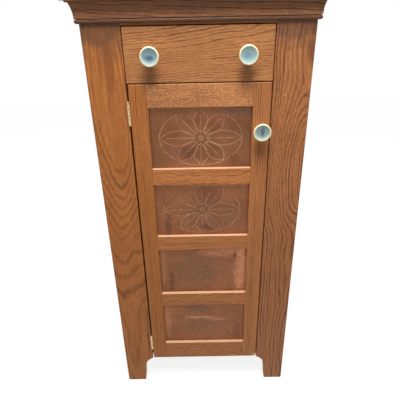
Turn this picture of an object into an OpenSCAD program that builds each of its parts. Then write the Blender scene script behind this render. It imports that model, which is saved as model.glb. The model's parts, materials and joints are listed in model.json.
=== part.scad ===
// Bakers cabinet: a narrow oak cupboard with a drawer above a door that holds four panels of
// punched copper sheet. Millimetres. +Z is up and the front faces -Y. The origin lies on the floor, at the centre
// of the box that holds the whole cabinet with its door and drawer closed.

/* [Case] */
// Width across the two front stiles
case_w = 457; // [400:1:560]
// Depth from the front of the stiles to the back
case_d = 305; // [270:1:400]
// Height from the floor to the underside of the top board
case_h = 1017; // [940:1:1150]
// Thickness of the face frame timber
frame_t = 19; // [17:0.5:24]
// Thickness of each side panel
side_t = 19; // [15:0.5:24]
// Width of each front stile
stile_w = 78; // [66:1:95]
// Height of the top rail of the face frame
top_rail_h = 44; // [42:1:60]
// Thickness of the bottom board
bottom_t = 16; // [12:0.5:22]
// Thickness of each shelf
shelf_t = 19; // [14:0.5:24]
// Distance from the back of the face frame to the front edge of a shelf
shelf_setback = 12; // [8:1:60]
// Thickness of the back panel
back_t = 6; // [4:0.5:10]
// Width of the rabbet in each side panel that holds the back panel
rabbet_w = 10; // [8:0.5:12]
// Depth of the dadoes that hold the bottom board, shelves and drawer frame
dado_d = 6; // [4:0.5:8]
// Length of the tenons on the top rail
frame_tenon_l = 25; // [12:1:35]
// Thickness of the tenons on the top rail
frame_tenon_t = 6.5; // [5:0.5:9]
// Wood left outside a tenon that lies at the end of a stile
tenon_edge = 12; // [8:1:16]
// Radius of the rounded front edges of the stiles, the door and the drawer
edge_r = 1.5; // [0.5:0.25:3]

/* [Feet] */
// Width of each front foot at the floor
foot_w = 51; // [40:1:54]
// Width of each front foot where its curve begins
foot_top_w = 55.5; // [54:0.5:62]
// Height at which the curve of a foot begins
foot_arc_z = 56; // [40:1:70]
// Radius of the curve of a foot
foot_arc_r = 34; // [24:1:40]
// Depth of the front leg on each side, with the stile
side_leg_front = 58; // [50:1:90]
// Depth of the rear leg on each side
side_leg_rear = 58; // [40:1:90]
// Wood left between the arch of a side panel and the bottom board
arch_land = 2; // [1:0.5:8]

/* [Top and crown] */
// Thickness of the top board
top_t = 19; // [16:0.5:28]
// Overhang of the top board at the front and sides
top_over = 24; // [20:1:40]
// Radius on the upper edge of the top board
top_round = 7; // [3:0.5:12]
// Height of the crown moulding
crown_h = 40; // [34:1:56]
// Radius of the bead at the foot of the crown
bead_r = 4.4; // [3:0.1:6]
// Distance that the bead's centre stands out from the case
bead_out = 2.4; // [1.5:0.1:4]
// Radius of the crown's long cove
cove_r = 60; // [50:1:90]
// Distance that the cove stands out at its foot
cove_out = 6.6; // [5:0.1:9]
// Height of the square lip at the top of the crown
lip_h = 3; // [2:0.5:6]
// Distance that the lip stands out
lip_out = 17; // [15:0.5:20]

/* [Door] */
// Width of each door stile
door_stile_w = 38; // [32:0.5:50]
// Height of the door's top rail
door_top_rail_h = 49; // [40:0.5:70]
// Height of each rail between two panels
door_mid_rail_h = 39.5; // [34:0.5:60]
// Height of the door's bottom rail
door_bottom_rail_h = 57; // [44:0.5:80]
// Distance that the door's bottom edge hangs below the bottom board
door_drop = 2; // [0:0.5:10]
// Gap beside the door on the hinge side
hinge_gap = 3.5; // [3.5:0.1:5]
// Gap beside the door on the latch side
latch_gap = 2; // [1.8:0.1:4]
// Gap between the door, the drawer and the top rail
reveal = 2; // [1:0.1:4]
// Gap behind the door and the drawer front when they are closed
stop_gap = 0.5; // [0.3:0.1:2]
// Distance from the front of the door to its panels
panel_recess = 8.5; // [7:0.5:10]
// Width of the rabbet that holds a panel
panel_rabbet = 8; // [6:0.5:10]
// Thickness of the copper sheet
panel_t = 1; // [0.6:0.1:2]
// Gap round a panel inside its rabbet
panel_gap = 0.5; // [0.2:0.1:1.5]
// Depth of the wooden beads that hold a panel
bead_d = 7; // [4:0.5:8]
// Radius on the inner edge of those beads
bead_round = 4; // [1:0.5:5]
// Length of the door tenons past the rabbet
door_tenon_l = 17; // [10:1:22]
// Thickness of the door tenons
door_tenon_t = 6; // [4:0.5:7]
// Gap at the ends of the upright beads
bead_joint = 0.3; // [0.2:0.1:1]

/* [Punched panels] */
// Distance from the oval ring to the sides of a panel's opening
ring_inset_x = 19; // [10:0.5:40]
// Distance from the oval ring to the top and the foot of a panel's opening
ring_inset_z = 5.5; // [4:0.5:20]
// Number of petals
petal_count = 8; // [6:2:12]
// Gap between the ring and the tips of the petals
petal_tip_gap = 3; // [2:0.5:10]
// Distance from the centre to the roots of the petals
petal_root = 13; // [11:0.5:20]
// Greatest half width of a petal
petal_half_w = 16.5; // [8:0.5:18]
// How far out a petal is widest: 1 is half way, and more is nearer the tip
petal_swell = 1.05; // [0.8:0.01:2]
// How blunt a petal's ends are: 1 is pointed, and less is rounder
petal_blunt = 0.7; // [0.5:0.05:1]
// Gap between the middle line that parts two petals and the edge of each
petal_part_gap = 1.2; // [1:0.1:3]
// Share of a petal's length that its midrib covers
midrib_share = 0.85; // [0.4:0.05:0.9]
// Radius of the ring of punches at the centre
eye_r = 5; // [4:0.5:8]
// Spacing of the punches
punch_step = 4.2; // [3.5:0.1:8]
// Width of the square punch
punch_w = 1; // [0.6:0.1:1.4]

/* [Drawer] */
// Height of the drawer front
drawer_h = 106; // [90:1:140]
// Gap beside the drawer front at each end
drawer_gap = 1.5; // [1:0.1:3]
// Gap between the drawer and the back panel
drawer_rear_gap = 19; // [8:1:60]
// Thickness of the drawer sides and back
drawer_side_t = 12; // [9:0.5:16]
// Gap between the top of the drawer sides and the kickers
kicker_gap = 2.5; // [1:0.5:6]
// Thickness of the drawer's bottom
drawer_bottom_t = 6; // [4:0.5:9]
// Depth of the grooves that hold the drawer's bottom
drawer_groove_d = 5; // [3:0.5:6]
// Height of the groove above the lower edge of the drawer sides
drawer_groove_z = 9; // [7:0.5:14]
// Wood left in front of the dovetails in the drawer front
dovetail_lap = 6; // [4:0.5:8]
// Number of dovetails at the front of each drawer side
dovetail_count = 4; // [2:1:5]
// Slope of the dovetails in degrees
dovetail_slope = 9; // [6:1:12]
// Half the width of a dovetail, as a share of the height that each dovetail has
dovetail_share = 0.36; // [0.3:0.01:0.42]

/* [Drawer frame] */
// Thickness of the frame that carries the drawer
divider_t = 19; // [16:0.5:24]
// Depth of the frame's front and rear rails
divider_d = 50; // [35:1:70]
// Height of the frame's upper face above the foot of the drawer front
divider_lap = 8.5; // [6:0.5:14]
// Length of the tongues on the runners
tongue_l = 8; // [5:0.5:12]
// Thickness of the tongues on the runners
tongue_t = 6; // [4:0.5:8]
// Width of the guide strips beside the drawer
guide_w = 18; // [12:1:26]
// Height of the guide strips
guide_h = 18; // [10:1:30]
// Distance that the runners and kickers reach in past the drawer sides
runner_reach = 14; // [8:1:30]
// Thickness of the kickers above the drawer
kicker_t = 14; // [10:0.5:18]
// Running gap between the drawer and its frame
run_gap = 0.3; // [0.2:0.1:1]
// Thickness of the cleats under the top board
cleat_t = 19; // [14:0.5:24]

/* [Knobs] */
// Diameter of a knob
knob_d = 38; // [30:1:44]
// Distance that a knob stands out
knob_h = 28; // [25:1:34]
// Diameter of a knob's base
knob_base_d = 20; // [16:0.5:26]
// Diameter of a knob's neck
knob_neck_d = 13; // [10:0.5:15]
// Radius of the concave neck
knob_neck_r = 8; // [6:0.5:9]
// Height of the edge of the base under the neck
knob_base_h = 1.5; // [1:0.1:3]
// Radius of the rounded rim
knob_rim_r = 2.6; // [1.5:0.1:3.5]
// Depth of the dished face
knob_dish = 3; // [1:0.5:5]
// Width of the flat rim round the dish
knob_rim_w = 2.4; // [1:0.1:4]
// Distance from the top of the door to its knob
door_knob_drop = 98.5; // [60:0.5:300]
// Distance from each end of the drawer front to its knob
drawer_knob_inset = 53.5; // [36:0.5:90]
// Radius of a knob screw
knob_screw_r = 2; // [1.5:0.1:2.5]
// Depth of the screw hole in a knob
knob_screw_l = 12; // [8:1:16]

/* [Hinges] */
// Height of a hinge without its tips
hinge_h = 44.5; // [38:0.5:65]
// Depth of a hinge leaf behind the front face
leaf_w = 15; // [12:0.5:16]
// Thickness of a hinge leaf
leaf_t = 1.5; // [1:0.1:1.6]
// Radius of the hinge barrel
barrel_r = 3.2; // [2.8:0.1:3.6]
// Radius of the hinge pin
pin_r = 1.6; // [1.2:0.1:2]
// Running clearance of the pin in the door's knuckles
pin_gap = 0.05; // [0.02:0.01:0.1]
// Distance that the hinge pin stands in front of the face frame
pin_out = 3; // [2.7:0.1:3.2]
// Radius of the ball at each end of a hinge pin
ball_r = 2.3; // [1.8:0.1:3]
// Distance from the top of the door to the middle of the upper hinge
hinge_drop = 59.5; // [40:0.5:120]
// Distance from the foot of the door to the middle of the lower hinge
hinge_rise = 62; // [40:0.5:120]
// Distance between the two screws in a leaf
leaf_screw_span = 28; // [20:1:40]
// Distance from the front face to the screws in a leaf
leaf_screw_in = 9; // [7:0.5:9]
// Radius of the screws in a leaf
leaf_screw_r = 1.3; // [1:0.1:1.6]
// Radius of the countersunk head of those screws
leaf_head_r = 2.7; // [2.2:0.1:3]
// Length of those screws
leaf_screw_l = 14; // [8:1:20]

/* [Catch and screws] */
// Width of the magnetic catch
catch_w = 34; // [24:1:44]
// Height of the magnetic catch
catch_h = 12; // [8:1:16]
// Depth of the magnetic catch
catch_d = 16; // [10:1:22]
// Thickness of the catch's strike plate on the door
strike_t = 1.2; // [0.8:0.1:2]
// Radius of the screws in the back and the cleats
case_screw_r = 2; // [1.5:0.1:2.5]
// Radius of the countersunk heads in the back
back_head_r = 3.8; // [3:0.1:4.2]
// Length of the screws in the back
back_screw_l = 22; // [16:1:30]
// Number of back screws beside each bay of the cupboard
bay_screw_count = 2; // [1:1:4]
// Number of screws in each cleat
cleat_screw_count = 3; // [2:1:5]

/* [Hidden] */
$fn = 64;

// Colours
oak = "#b9793f";
oak_dark = "#8a5630";
oak_pale = "#cf9a62";
copper = "#8a5440";
stoneware = "#7fa9b3";
brass = "#b8923f";
steel = "#9a9ea3";
plastic = "#e6e2d4";

// Extra length of a cutting tool past the face that it opens
cut = 1;

// Planes of the case, from front to back
front_y = (max(knob_h, top_over) - case_d) / 2;
frame_y = front_y + frame_t;
back_y = front_y + case_d;
inner_back_y = back_y - back_t;

// Half widths
case_x = case_w / 2;
inner_x = case_x - side_t;
dado_x = inner_x + dado_d;
opening_x = case_x - stile_w;

// Heights of the bottom, the door and the drawer
base_z = foot_arc_z + foot_arc_r + arch_land;
floor_z = base_z + bottom_t;
door_z = base_z - door_drop;
top_rail_z = case_h - top_rail_h;
drawer_z = top_rail_z - reveal - drawer_h;
door_top_z = drawer_z - reveal;
door_h = door_top_z - door_z;

// The frame that carries the drawer
divider_z1 = drawer_z + divider_lap;
divider_z0 = divider_z1 - divider_t;
rear_rail_y = inner_back_y - divider_d;
drawer_x = opening_x - drawer_gap;
box_z = divider_z1 + run_gap;
kicker_z = top_rail_z - reveal - kicker_gap;
box_top_z = kicker_z - kicker_gap;
runner_x = drawer_x - runner_reach;

// Two shelves share the height of the cupboard equally
bay_h = (divider_z0 - floor_z - 2 * shelf_t) / 3;
shelf_lower_z = floor_z + bay_h;
shelf_upper_z = shelf_lower_z + shelf_t + bay_h;
shelf_y = frame_y + shelf_setback;

// The door, from its hinge edge at -X to its latch edge at +X
door_t = frame_t - stop_gap;
door_x0 = hinge_gap - opening_x;
door_x1 = opening_x - latch_gap;
door_back_y = front_y + door_t;
rabbet_y = front_y + panel_recess;
panel_x0 = door_x0 + door_stile_w;
panel_x1 = door_x1 - door_stile_w;
panel_count = 4;
rails_h = door_top_rail_h + door_bottom_rail_h + (panel_count - 1) * door_mid_rail_h;
panel_h = (door_h - rails_h) / panel_count;

// Foot of panel opening i, counted from the top
function panel_z(i) =
    door_z + door_bottom_rail_h + (panel_count - i) * (panel_h + door_mid_rail_h);
function mid_rail_z(i) = panel_z(i) - door_mid_rail_h;

// Tenons of the five door rails as [foot, top]
mid_tenons = [for (i = [1:panel_count - 1])
    [mid_rail_z(i) + panel_rabbet, panel_z(i) - panel_rabbet]];
top_tenon = [door_top_z - door_top_rail_h + panel_rabbet, door_top_z - tenon_edge];
bottom_tenon = [door_z + tenon_edge, panel_z(panel_count) - panel_rabbet];
door_tenons = concat(mid_tenons, [top_tenon, bottom_tenon]);

// The rosette is centred on each panel
panel_cx = (panel_x0 + panel_x1) / 2;
ring_a = (panel_x1 - panel_x0) / 2 - ring_inset_x;
ring_b = panel_h / 2 - ring_inset_z;
curve_grain = 40;
rib_clearance = 1.8 * punch_w;

// Distance from the centre to the oval ring in a direction
function ring_radius(a) = ring_a * ring_b / norm([ring_b * cos(a), ring_a * sin(a)]);

// Distance along a path at each of its points
function path_runs(path) = [
    for (i = 0, run = 0; i < len(path);
        i = i + 1, run = i < len(path) ? run + norm(path[i] - path[i - 1]) : run) run
];

// Evenly spaced points along a path, without its two ends
function spaced(path) =
    let(
        runs = path_runs(path),
        total = runs[len(runs) - 1],
        count = round(total / punch_step),
        xs = [for (i = [0:len(path) - 1]) [runs[i], path[i].x]],
        ys = [for (i = [0:len(path) - 1]) [runs[i], path[i].y]]
    )
    [for (k = [1:count - 1]) [lookup(k * total / count, xs), lookup(k * total / count, ys)]];

// The oval ring, from and back to its point on the right
ring_path = [for (i = [0:4 * curve_grain])
    let(a = i * 90 / curve_grain) [ring_a * cos(a), ring_b * sin(a)]];

// A point at a distance out along a petal and to one side of its midrib
function petal_point(a, out, aside) = [
    out * cos(a) - aside * sin(a), out * sin(a) + aside * cos(a)
];

// Half width of a petal at a share t of its length, which ends short of its neighbour
function petal_half(t, out) = min(
    petal_half_w * pow(sin(180 * pow(t, petal_swell)), petal_blunt),
    out * tan(180 / petal_count) - petal_part_gap
);

// One edge of a petal, side = 1 or -1, from its root to its tip
function petal_edge(a, side) =
    let(length = ring_radius(a) - petal_tip_gap - petal_root)
    [for (i = [0:curve_grain])
        let(t = i / curve_grain, out = petal_root + length * t)
        petal_point(a, out, side * petal_half(t, out))];

// Punches of one petal: its two edges, its tip and its midrib
function petal_punches(a) =
    let(
        tip = ring_radius(a) - petal_tip_gap,
        rib = (tip - petal_root) * midrib_share,
        edges = concat(spaced(petal_edge(a, 1)), spaced(petal_edge(a, -1))),
        count = floor(rib / punch_step)
    )
    concat(
        [for (p = edges) if (abs(p.y * cos(a) - p.x * sin(a)) > rib_clearance) p],
        [petal_point(a, tip, 0)],
        [for (k = [0:count]) petal_point(a, petal_root + k * punch_step, 0)]
    );

// All punches of the rosette
rosette = concat(
    [[ring_a, 0]],
    spaced(ring_path),
    [for (k = [0:petal_count - 1], p = petal_punches(k * 360 / petal_count)) p],
    [for (k = [0:petal_count - 1]) petal_point((k + 0.5) * 360 / petal_count, eye_r, 0)],
    [[0, 0]]
);

// Hinges
hinge_x = hinge_gap / 2 - opening_x;
hinge_y = front_y - pin_out;
upper_hinge_z = door_top_z - hinge_drop;
lower_hinge_z = door_z + hinge_rise;
knuckles = 5;
knuckle_h = hinge_h / knuckles;
knuckle_gap = 0.1;
sweep_gap = 0.35;
ball_lift = 0.8 * ball_r;
leaf_screw_y = front_y + leaf_screw_in;

// Knobs
door_knob_x = door_x1 - door_stile_w / 2;
door_knob_z = door_top_z - door_knob_drop;
drawer_knob_x = drawer_x - drawer_knob_inset;
drawer_knob_z = drawer_z + drawer_h / 2;
knob_head_r = 4;
knob_head_h = 2.4;
knob_flare_inset = 0.3 * knob_rim_r;

// Catch, under the drawer frame near the latch edge
catch_x = door_x1 - door_stile_w / 2;
catch_gap = 0.4;
catch_y = door_back_y + strike_t + catch_gap;
strike_margin = 2;

// Screws of the back and the top
back_screw_x = inner_x + rabbet_w / 2;
cleat_head_r = 4;
cleat_head_h = 2.5;
cleat_screw_bite = 12;

// A board between two corners
module board(x0, x1, y0, y1, z0, z1) {
    translate([x0, y0, z0]) cube([x1 - x0, y1 - y0, z1 - z0]);
}

// Shapes are drawn for the right side (side = 1) and mirrored for the left (side = -1)
module on_side(side) {
    mirror([side < 0 ? 1 : 0, 0, 0]) children();
}

// Lifts a profile drawn in X and Z and runs it back along Y from y0 to y1
module along_y(y0, y1) {
    translate([0, y1, 0]) rotate([90, 0, 0]) linear_extrude(height = y1 - y0) children();
}

// Stands a profile drawn in Y and Z up and runs it along X from x0 to x1
module along_x(x0, x1) {
    translate([x0, 0, 0]) rotate([90, 0, 90]) linear_extrude(height = x1 - x0) children();
}

// Runs a profile drawn in X and Y up from z0 to z1
module along_z(z0, z1) {
    translate([0, 0, z0]) linear_extrude(height = z1 - z0) children();
}

// What a rounded edge takes away. Its corner lies at the origin, with the wood at -X and -Y.
module edge_cut(r) {
    difference() {
        translate([-r, -r]) square(r + cut);
        translate([-r, -r]) circle(r = r);
    }
}

// What rounded edges take away from a front face between two corners
module face_edges(x0, x1, z0, z1) {
    along_z(z0 - cut, z1 + cut) {
        translate([x0, front_y]) rotate(180) edge_cut(edge_r);
        translate([x1, front_y]) mirror([0, 1]) edge_cut(edge_r);
    }
    along_x(x0 - cut, x1 + cut) {
        translate([front_y, z0]) rotate(180) edge_cut(edge_r);
        translate([front_y, z1]) mirror([1, 0]) edge_cut(edge_r);
    }
}

// A cylinder from a point towards the back
module rod_y(x, y, z, r, length) {
    translate([x, y, z]) rotate([-90, 0, 0]) cylinder(r = r, h = length);
}

// ---- Case ----

// Outline of the hollow under a side panel, with the same curves as the front feet
module side_arch() {
    w = case_d - side_leg_front - side_leg_rear;
    h = foot_arc_z + foot_arc_r;
    translate([front_y + side_leg_front, 0]) {
        translate([0, -cut]) square([w, foot_arc_z + cut]);
        translate([foot_arc_r, 0]) square([w - 2 * foot_arc_r, h]);
        translate([foot_arc_r, foot_arc_z]) circle(r = foot_arc_r);
        translate([w - foot_arc_r, foot_arc_z]) circle(r = foot_arc_r);
    }
}

// Dadoes in a side panel as [front, foot, top]: those of the bottom board, the two shelves,
// the drawer frame and the kicker
dadoes = [
    [frame_y - cut, base_z, floor_z],
    [shelf_y, shelf_lower_z, shelf_lower_z + shelf_t],
    [shelf_y, shelf_upper_z, shelf_upper_z + shelf_t],
    [frame_y - cut, divider_z0, divider_z1],
    [frame_y - cut, kicker_z, kicker_z + kicker_t]
];

module side_panel(side) {
    color(oak) on_side(side) difference() {
        board(inner_x, case_x, frame_y, back_y, 0, case_h);
        along_x(inner_x - cut, case_x + cut) side_arch();
        for (dado = dadoes)
            board(inner_x - cut, dado_x, dado[0], inner_back_y, dado[1], dado[2]);
        board(inner_x - cut, inner_x + rabbet_w, inner_back_y, back_y + cut, base_z, case_h + cut);
        back_screw_bodies();
    }
}

// Outline of a stile in X and Z, with the curved foot cut from its inner edge
module stile_outline() {
    difference() {
        translate([opening_x, 0]) square([stile_w, case_h]);
        polygon([
            [case_x - foot_w, -cut], [opening_x - cut, -cut],
            [opening_x - cut, foot_arc_z], [case_x - foot_top_w, foot_arc_z],
            [case_x - foot_w, 0]
        ]);
        translate([case_x - foot_top_w - foot_arc_r, foot_arc_z]) circle(r = foot_arc_r);
    }
}

// The bar whose ends are the tenons of the top rail
module top_rail_tenons() {
    reach = opening_x + frame_tenon_l;
    board(
        -reach, reach, front_y + (frame_t - frame_tenon_t) / 2,
        front_y + (frame_t + frame_tenon_t) / 2, top_rail_z + tenon_edge / 2, case_h - tenon_edge
    );
}

module front_stile(side) {
    color(oak) difference() {
        on_side(side) along_y(front_y, frame_y) stile_outline();
        on_side(side) along_z(-cut, case_h + cut)
            translate([case_x, front_y]) mirror([0, 1]) edge_cut(edge_r);
        on_side(side) along_z(foot_arc_z + foot_arc_r, top_rail_z)
            translate([opening_x, front_y]) rotate(180) edge_cut(edge_r);
        top_rail_tenons();
        if (side < 0) {
            leaf_screw_shanks(upper_hinge_z, -1);
            leaf_screw_shanks(lower_hinge_z, -1);
        }
    }
}

module top_rail() {
    color(oak) union() {
        board(-opening_x, opening_x, front_y, frame_y, top_rail_z, case_h);
        top_rail_tenons();
    }
}

module bottom_board() {
    color(oak) board(-dado_x, dado_x, frame_y, inner_back_y, base_z, floor_z);
}

module shelf(z) {
    color(oak) board(-dado_x, dado_x, shelf_y, inner_back_y, z, z + shelf_t);
}

// Screws up both edges of the back, clear of the shelves, with their heads flush
module back_screw_bodies() {
    bays = [for (i = [0:2], j = [0:bay_screw_count - 1])
        floor_z + i * (bay_h + shelf_t) + bay_h * (j + 0.5) / bay_screw_count];
    heights = concat(bays, [(divider_z1 + kicker_z) / 2]);
    for (x = [-back_screw_x, back_screw_x], z = heights)
        translate([x, back_y, z]) rotate([90, 0, 0]) {
            cylinder(r = case_screw_r, h = back_screw_l);
            cylinder(r1 = back_head_r, r2 = case_screw_r, h = back_head_r - case_screw_r);
        }
}

module back_panel() {
    color(oak_pale) difference() {
        board(-inner_x - rabbet_w, inner_x + rabbet_w, inner_back_y, back_y, base_z, case_h);
        back_screw_bodies();
    }
}

module back_screws() {
    color(steel) back_screw_bodies();
}

// ---- Top and crown ----

module top_board() {
    x = case_x + top_over;
    y = front_y - top_over;
    z = case_h + top_t;
    color(oak) difference() {
        board(-x, x, y, back_y, case_h, z);
        for (side = [-1, 1])
            on_side(side) along_y(y - cut, back_y + cut) translate([x, z]) edge_cut(top_round);
        along_x(-x - cut, x + cut) translate([y, z]) mirror([1, 0]) edge_cut(top_round);
        top_screw_bodies();
    }
}

// Screws that rise through each cleat into the top board
module top_screw_bodies() {
    step = 2 * inner_x / cleat_screw_count;
    for (y = [frame_y + cleat_t / 2, inner_back_y - cleat_t / 2], i = [0:cleat_screw_count - 1])
        translate([(i + 0.5) * step - inner_x, y, case_h - cleat_t]) {
            translate([0, 0, -cleat_head_h]) cylinder(r = cleat_head_r, h = cleat_head_h);
            cylinder(r = case_screw_r, h = cleat_t + cleat_screw_bite);
        }
}

module top_screws() {
    color(steel) top_screw_bodies();
}

module top_cleat(y) {
    color(oak_pale) difference() {
        board(-inner_x, inner_x, y, y + cleat_t, case_h - cleat_t, case_h);
        top_screw_bodies();
    }
}

// Section of the crown: a bead, a long cove and a square lip, standing out along X
module crown_section() {
    bead_h = 2 * bead_r;
    square([bead_out, bead_h]);
    translate([bead_out, bead_r]) circle(r = bead_r);
    difference() {
        translate([0, bead_h]) square([lip_out, crown_h - bead_h]);
        translate([cove_out + cove_r, bead_h + bead_r / 2]) circle(r = cove_r);
    }
    translate([0, crown_h - lip_h]) square([lip_out, lip_h]);
}

// The part of the crown section that lies outside the case
module crown_outside() {
    intersection() {
        crown_section();
        square([lip_out + cut, crown_h]);
    }
}

module crown_front() {
    reach = lip_out + 2 * cut;
    color(oak_dark) intersection() {
        along_x(-case_x - reach, case_x + reach)
            translate([front_y, case_h - crown_h]) mirror([1, 0]) crown_outside();
        translate([0, 0, case_h - crown_h - cut]) linear_extrude(height = crown_h + 2 * cut)
            polygon([
                [-case_x, front_y], [case_x, front_y],
                [case_x + reach, front_y - reach], [-case_x - reach, front_y - reach]
            ]);
    }
}

module crown_side(side) {
    reach = lip_out + 2 * cut;
    color(oak_dark) on_side(side) intersection() {
        along_y(front_y - reach, back_y) translate([case_x, case_h - crown_h]) crown_outside();
        translate([0, 0, case_h - crown_h - cut]) linear_extrude(height = crown_h + 2 * cut)
            polygon([
                [case_x, front_y], [case_x + reach, front_y - reach],
                [case_x + reach, back_y], [case_x, back_y]
            ]);
    }
}

// ---- Frame that carries the drawer ----

module runner_tongues(side) {
    z = (divider_z0 + divider_z1 - tongue_t) / 2;
    on_side(side) board(
        runner_x, inner_x, frame_y + divider_d - tongue_l, rear_rail_y + tongue_l,
        z, z + tongue_t
    );
}

module divider_rail(y) {
    color(oak_pale) difference() {
        board(-dado_x, dado_x, y, y + divider_d, divider_z0, divider_z1);
        runner_tongues(-1);
        runner_tongues(1);
    }
}

module drawer_runner(side) {
    color(oak_pale) union() {
        on_side(side) board(
            runner_x, dado_x, frame_y + divider_d, rear_rail_y, divider_z0, divider_z1
        );
        runner_tongues(side);
    }
}

module drawer_guide(side) {
    x = drawer_x + run_gap;
    color(oak_pale) on_side(side)
        board(x, x + guide_w, frame_y, inner_back_y, divider_z1, divider_z1 + guide_h);
}

module drawer_kicker(side) {
    color(oak_pale) on_side(side)
        board(runner_x, dado_x, frame_y, inner_back_y, kicker_z, kicker_z + kicker_t);
}

// ---- Hinges and catch ----

// Shanks of the two screws in a leaf: frame leaf (side = -1) or door leaf (side = 1)
module leaf_screw_shanks(z, side) {
    x = side < 0 ? -opening_x + leaf_t : door_x0 - leaf_t;
    for (dz = [-0.5, 0.5] * leaf_screw_span)
        translate([x, leaf_screw_y, z + dz]) rotate([0, side * 90, 0]) {
            cylinder(r = leaf_screw_r, h = leaf_screw_l);
            cylinder(r1 = leaf_head_r, r2 = leaf_screw_r, h = leaf_head_r - leaf_screw_r);
        }
}

// One leaf with its share of the knuckles: the frame leaf holds the odd ones
module hinge_leaf(z, side) {
    x = side < 0 ? -opening_x : door_x0 - leaf_t;
    first = side < 0 ? 0 : 1;
    foot = z - hinge_h / 2;
    plate_y = hinge_y + (pin_r + barrel_r) / 2;
    color(brass) difference() {
        union() {
            difference() {
                board(x, x + leaf_t, plate_y, front_y + leaf_w, foot, foot + hinge_h);
                for (i = [1 - first:2:knuckles - 1])
                    translate([hinge_x, hinge_y, foot + i * knuckle_h - knuckle_gap])
                        cylinder(r = barrel_r + sweep_gap, h = knuckle_h + 2 * knuckle_gap);
            }
            for (i = [first:2:knuckles - 1])
                translate([hinge_x, hinge_y, foot + i * knuckle_h + knuckle_gap])
                    cylinder(r = barrel_r, h = knuckle_h - 2 * knuckle_gap);
        }
        translate([hinge_x, hinge_y, foot - cut])
            cylinder(r = side < 0 ? pin_r : pin_r + pin_gap, h = hinge_h + 2 * cut);
        leaf_screw_shanks(z, side);
    }
}

module hinge_pin(z) {
    reach = hinge_h / 2 + ball_lift;
    translate([hinge_x, hinge_y, z]) {
        cylinder(r = pin_r, h = 2 * reach, center = true);
        translate([0, 0, reach]) sphere(r = ball_r);
        translate([0, 0, -reach]) sphere(r = ball_r);
    }
}

module hinge_pins() {
    color(brass) {
        hinge_pin(upper_hinge_z);
        hinge_pin(lower_hinge_z);
    }
}

module hinge_screws(side) {
    color(brass) {
        leaf_screw_shanks(upper_hinge_z, side);
        leaf_screw_shanks(lower_hinge_z, side);
    }
}

module catch_body() {
    color(plastic) board(
        catch_x - catch_w / 2, catch_x + catch_w / 2,
        catch_y, catch_y + catch_d, divider_z0 - catch_h, divider_z0
    );
}

module catch_strike() {
    color(steel) board(
        catch_x - catch_w / 2 + strike_margin, catch_x + catch_w / 2 - strike_margin,
        door_back_y, door_back_y + strike_t,
        divider_z0 - catch_h, divider_z0 - strike_margin
    );
}

// ---- Door ----

// The bar whose ends are the tenons of a door rail
module door_tenons_bar(span) {
    reach = panel_rabbet + door_tenon_l;
    board(
        panel_x0 - reach, panel_x1 + reach, rabbet_y, rabbet_y + door_tenon_t, span[0], span[1]
    );
}

// Section across a panel's opening from a0 to a1, wider at the front by its rounded edges
module opening_flare(a0, a1) {
    translate([a0, front_y - cut]) square([a1 - a0, edge_r + cut]);
    translate([a0, front_y]) mirror([0, 1]) edge_cut(edge_r);
    translate([a1, front_y]) rotate(180) edge_cut(edge_r);
}

// What the rounded front edges of the door take away, round each panel and outside
module door_edges() {
    for (i = [1:panel_count]) {
        z0 = panel_z(i);
        z1 = z0 + panel_h;
        intersection() {
            along_z(z0 - edge_r - cut, z1 + edge_r + cut) opening_flare(panel_x0, panel_x1);
            along_x(panel_x0 - edge_r - cut, panel_x1 + edge_r + cut)
                mirror([1, -1]) opening_flare(z0, z1);
        }
    }
    face_edges(door_x0, door_x1, door_z, door_top_z);
}

module door_stile(side) {
    x0 = side < 0 ? door_x0 : panel_x1;
    rabbet_x = side < 0 ? panel_x0 - panel_rabbet : panel_x1 - cut;
    color(oak) difference() {
        board(x0, x0 + door_stile_w, front_y, door_back_y, door_z, door_top_z);
        board(
            rabbet_x, rabbet_x + panel_rabbet + cut, rabbet_y, door_back_y + cut,
            door_z - cut, door_top_z + cut
        );
        for (span = door_tenons) door_tenons_bar(span);
        door_edges();
        if (side < 0) {
            leaf_screw_shanks(upper_hinge_z, 1);
            leaf_screw_shanks(lower_hinge_z, 1);
        } else {
            knob_screw(door_knob_x, door_knob_z);
        }
    }
}

// A rail from z0 to z1. lap0 and lap1 are the heights of its rabbets, below and above,
// and its back part runs on past the front shoulders to fill the rabbets of the stiles.
module door_rail(z0, z1, lap0, lap1, tenon) {
    color(oak) difference() {
        union() {
            board(panel_x0, panel_x1, front_y, rabbet_y, z0, z1);
            board(panel_x0, panel_x1, front_y, door_back_y, z0 + lap0, z1 - lap1);
            board(
                panel_x0 - panel_rabbet, panel_x1 + panel_rabbet, rabbet_y, door_back_y,
                z0 + lap0, z1 - lap1
            );
            door_tenons_bar(tenon);
        }
        door_edges();
    }
}

module door_top_rail() {
    door_rail(door_top_z - door_top_rail_h, door_top_z, panel_rabbet, 0, top_tenon);
}

module door_bottom_rail() {
    door_rail(door_z, door_z + door_bottom_rail_h, 0, panel_rabbet, bottom_tenon);
}

module door_mid_rail(i) {
    door_rail(mid_rail_z(i), panel_z(i), panel_rabbet, panel_rabbet, mid_tenons[i - 1]);
}

// A copper sheet, pierced from end to end of the rosette by a square punch
module copper_panel(i) {
    lap = panel_rabbet - panel_gap;
    color(copper) along_y(rabbet_y, rabbet_y + panel_t)
        translate([panel_cx, panel_z(i) + panel_h / 2]) difference() {
            square([panel_x1 - panel_x0 + 2 * lap, panel_h + 2 * lap], center = true);
            for (p = rosette) translate(p) rotate(45) square(punch_w, center = true);
        }
}

// Section of a bead in a corner at the origin, with one rounded edge
module bead_section() {
    difference() {
        square([panel_rabbet, bead_d]);
        translate([panel_rabbet, bead_d]) edge_cut(bead_round);
    }
}

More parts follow.
